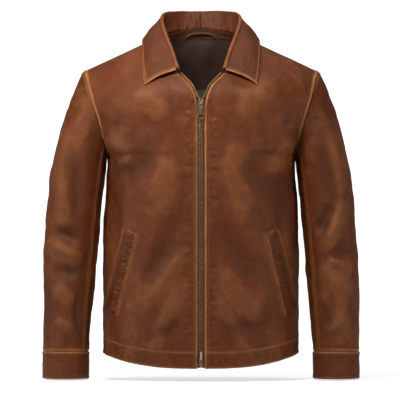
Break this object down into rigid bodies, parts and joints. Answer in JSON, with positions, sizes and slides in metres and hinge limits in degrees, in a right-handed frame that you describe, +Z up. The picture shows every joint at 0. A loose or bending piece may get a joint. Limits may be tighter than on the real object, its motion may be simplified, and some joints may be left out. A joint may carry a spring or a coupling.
{
  "type": "leather jacket",
  "caption": "Waist-length leather jacket with a turned-down shirt collar, open V neck, brass front zip, slanted welt pockets, two-piece sleeves, band cuffs and a satin lining.",
  "frame": {"origin": "centre of the neck opening, level with the neck ends of the shoulder seams, where the wearer's shoulders hold the jacket", "axes": "+Z up, -Y out of the zip front, +X to the wearer's left"},
  "size_m": [0.632, 0.2534, 0.7369],
  "materials": {
    "leather": "waxed and rubbed, low sheen",
    "facing_leather": "plain",
    "satin_lining": "satin",
    "pocket_cotton": "matt",
    "zip_tape": "matt",
    "zip_brass": "antique"
  },
  "bodies": {
    "body": {"front_panel_left": "leather", "front_panel_right": "leather", "back_panel": "leather", "pocket_welt_left": "leather", "pocket_welt_right": "leather", "collar_left": "leather", "collar_right": "leather", "front_facing_left": "facing_leather", "front_facing_right": "facing_leather", "hem_facing_left": "facing_leather", "hem_facing_right": "facing_leather", "under_collar_left": "facing_leather", "under_collar_right": "facing_leather", "hem_facing_back": "facing_leather", "neck_facing": "facing_leather", "lining_front_left": "satin_lining", "lining_front_right": "satin_lining", "lining_back": "satin_lining", "pocket_bag_left": "pocket_cotton", "pocket_bag_right": "pocket_cotton", "zip_tape_left": "zip_tape", "zip_tape_right": "zip_tape", "zip_teeth_left": "zip_brass", "zip_teeth_right": "zip_brass", "zip_top_stop_left": "zip_brass", "zip_top_stop_right": "zip_brass", "zip_box": "zip_brass", "zip_pin": "zip_brass"},
    "sleeve_left": {"sleeve_top_left": "leather", "sleeve_under_left": "leather", "lining_sleeve_left": "satin_lining", "cuff_left": "leather", "cuff_facing_left": "facing_leather"},
    "sleeve_right": {"sleeve_top_right": "leather", "sleeve_under_right": "leather", "lining_sleeve_right": "satin_lining", "cuff_right": "leather", "cuff_facing_right": "facing_leather"},
    "zip_slider": {"zip_slider": "zip_brass"},
    "zip_pull": {"zip_pull": "zip_brass"},
    "hanger_loop": {"hanger_loop": "facing_leather"}
  },
  "joints": [
    {"name": "zip_slide", "type": "slide", "parent": "body", "child": "zip_slider", "axis": [0, 0, -1], "range_m": [0, 0.49]},
    {"name": "zip_pull_swing", "type": "hinge", "parent": "zip_slider", "child": "zip_pull", "pos_m": [0, -0.1329, -0.1364], "axis": [-1, 0, 0], "range_deg": [0, 160]},
    {"name": "sleeve_left_raise", "type": "hinge", "parent": "body", "child": "sleeve_left", "pos_m": [0.236, 0, -0.0704], "axis": [0, -1, 0], "range_deg": [0, 70]},
    {"name": "sleeve_right_raise", "type": "hinge", "parent": "body", "child": "sleeve_right", "pos_m": [-0.236, 0, -0.0704], "axis": [0, 1, 0], "range_deg": [0, 70]},
    {"name": "hanger_loop_swing", "type": "hinge", "parent": "body", "child": "hanger_loop", "pos_m": [0, 0.0598, 0], "axis": [1, 0, 0], "range_deg": [0, 110]}
  ]
}
